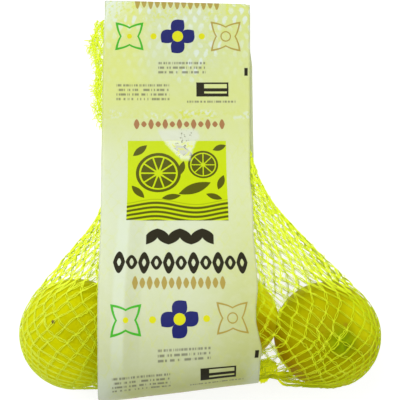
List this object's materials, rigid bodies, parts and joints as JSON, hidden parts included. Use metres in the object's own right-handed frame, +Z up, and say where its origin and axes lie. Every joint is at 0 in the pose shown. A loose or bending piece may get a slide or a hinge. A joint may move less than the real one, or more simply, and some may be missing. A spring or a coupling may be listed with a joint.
{
  "type": "net of lemons",
  "caption": "Knitted net tube of lemons, flattened and held at the top between two layers of one milky film band that runs round the pack. Lies on its back.",
  "frame": {"origin": "middle of the pack's width and length, on the surface it lies on", "axes": "+Y towards the film's top edge, +Z up out of the label side, +X to the right seen from above"},
  "size_m": [0.2146, 0.2468, 0.0735],
  "materials": {
    "net": "lime-yellow knitted plastic yarn over yellow lemons",
    "film": "thin milky film, slightly see-through, softly creased"
  },
  "bodies": {
    "root": {"net_bag": "net", "film_band": "film"}
  },
  "joints": []
}
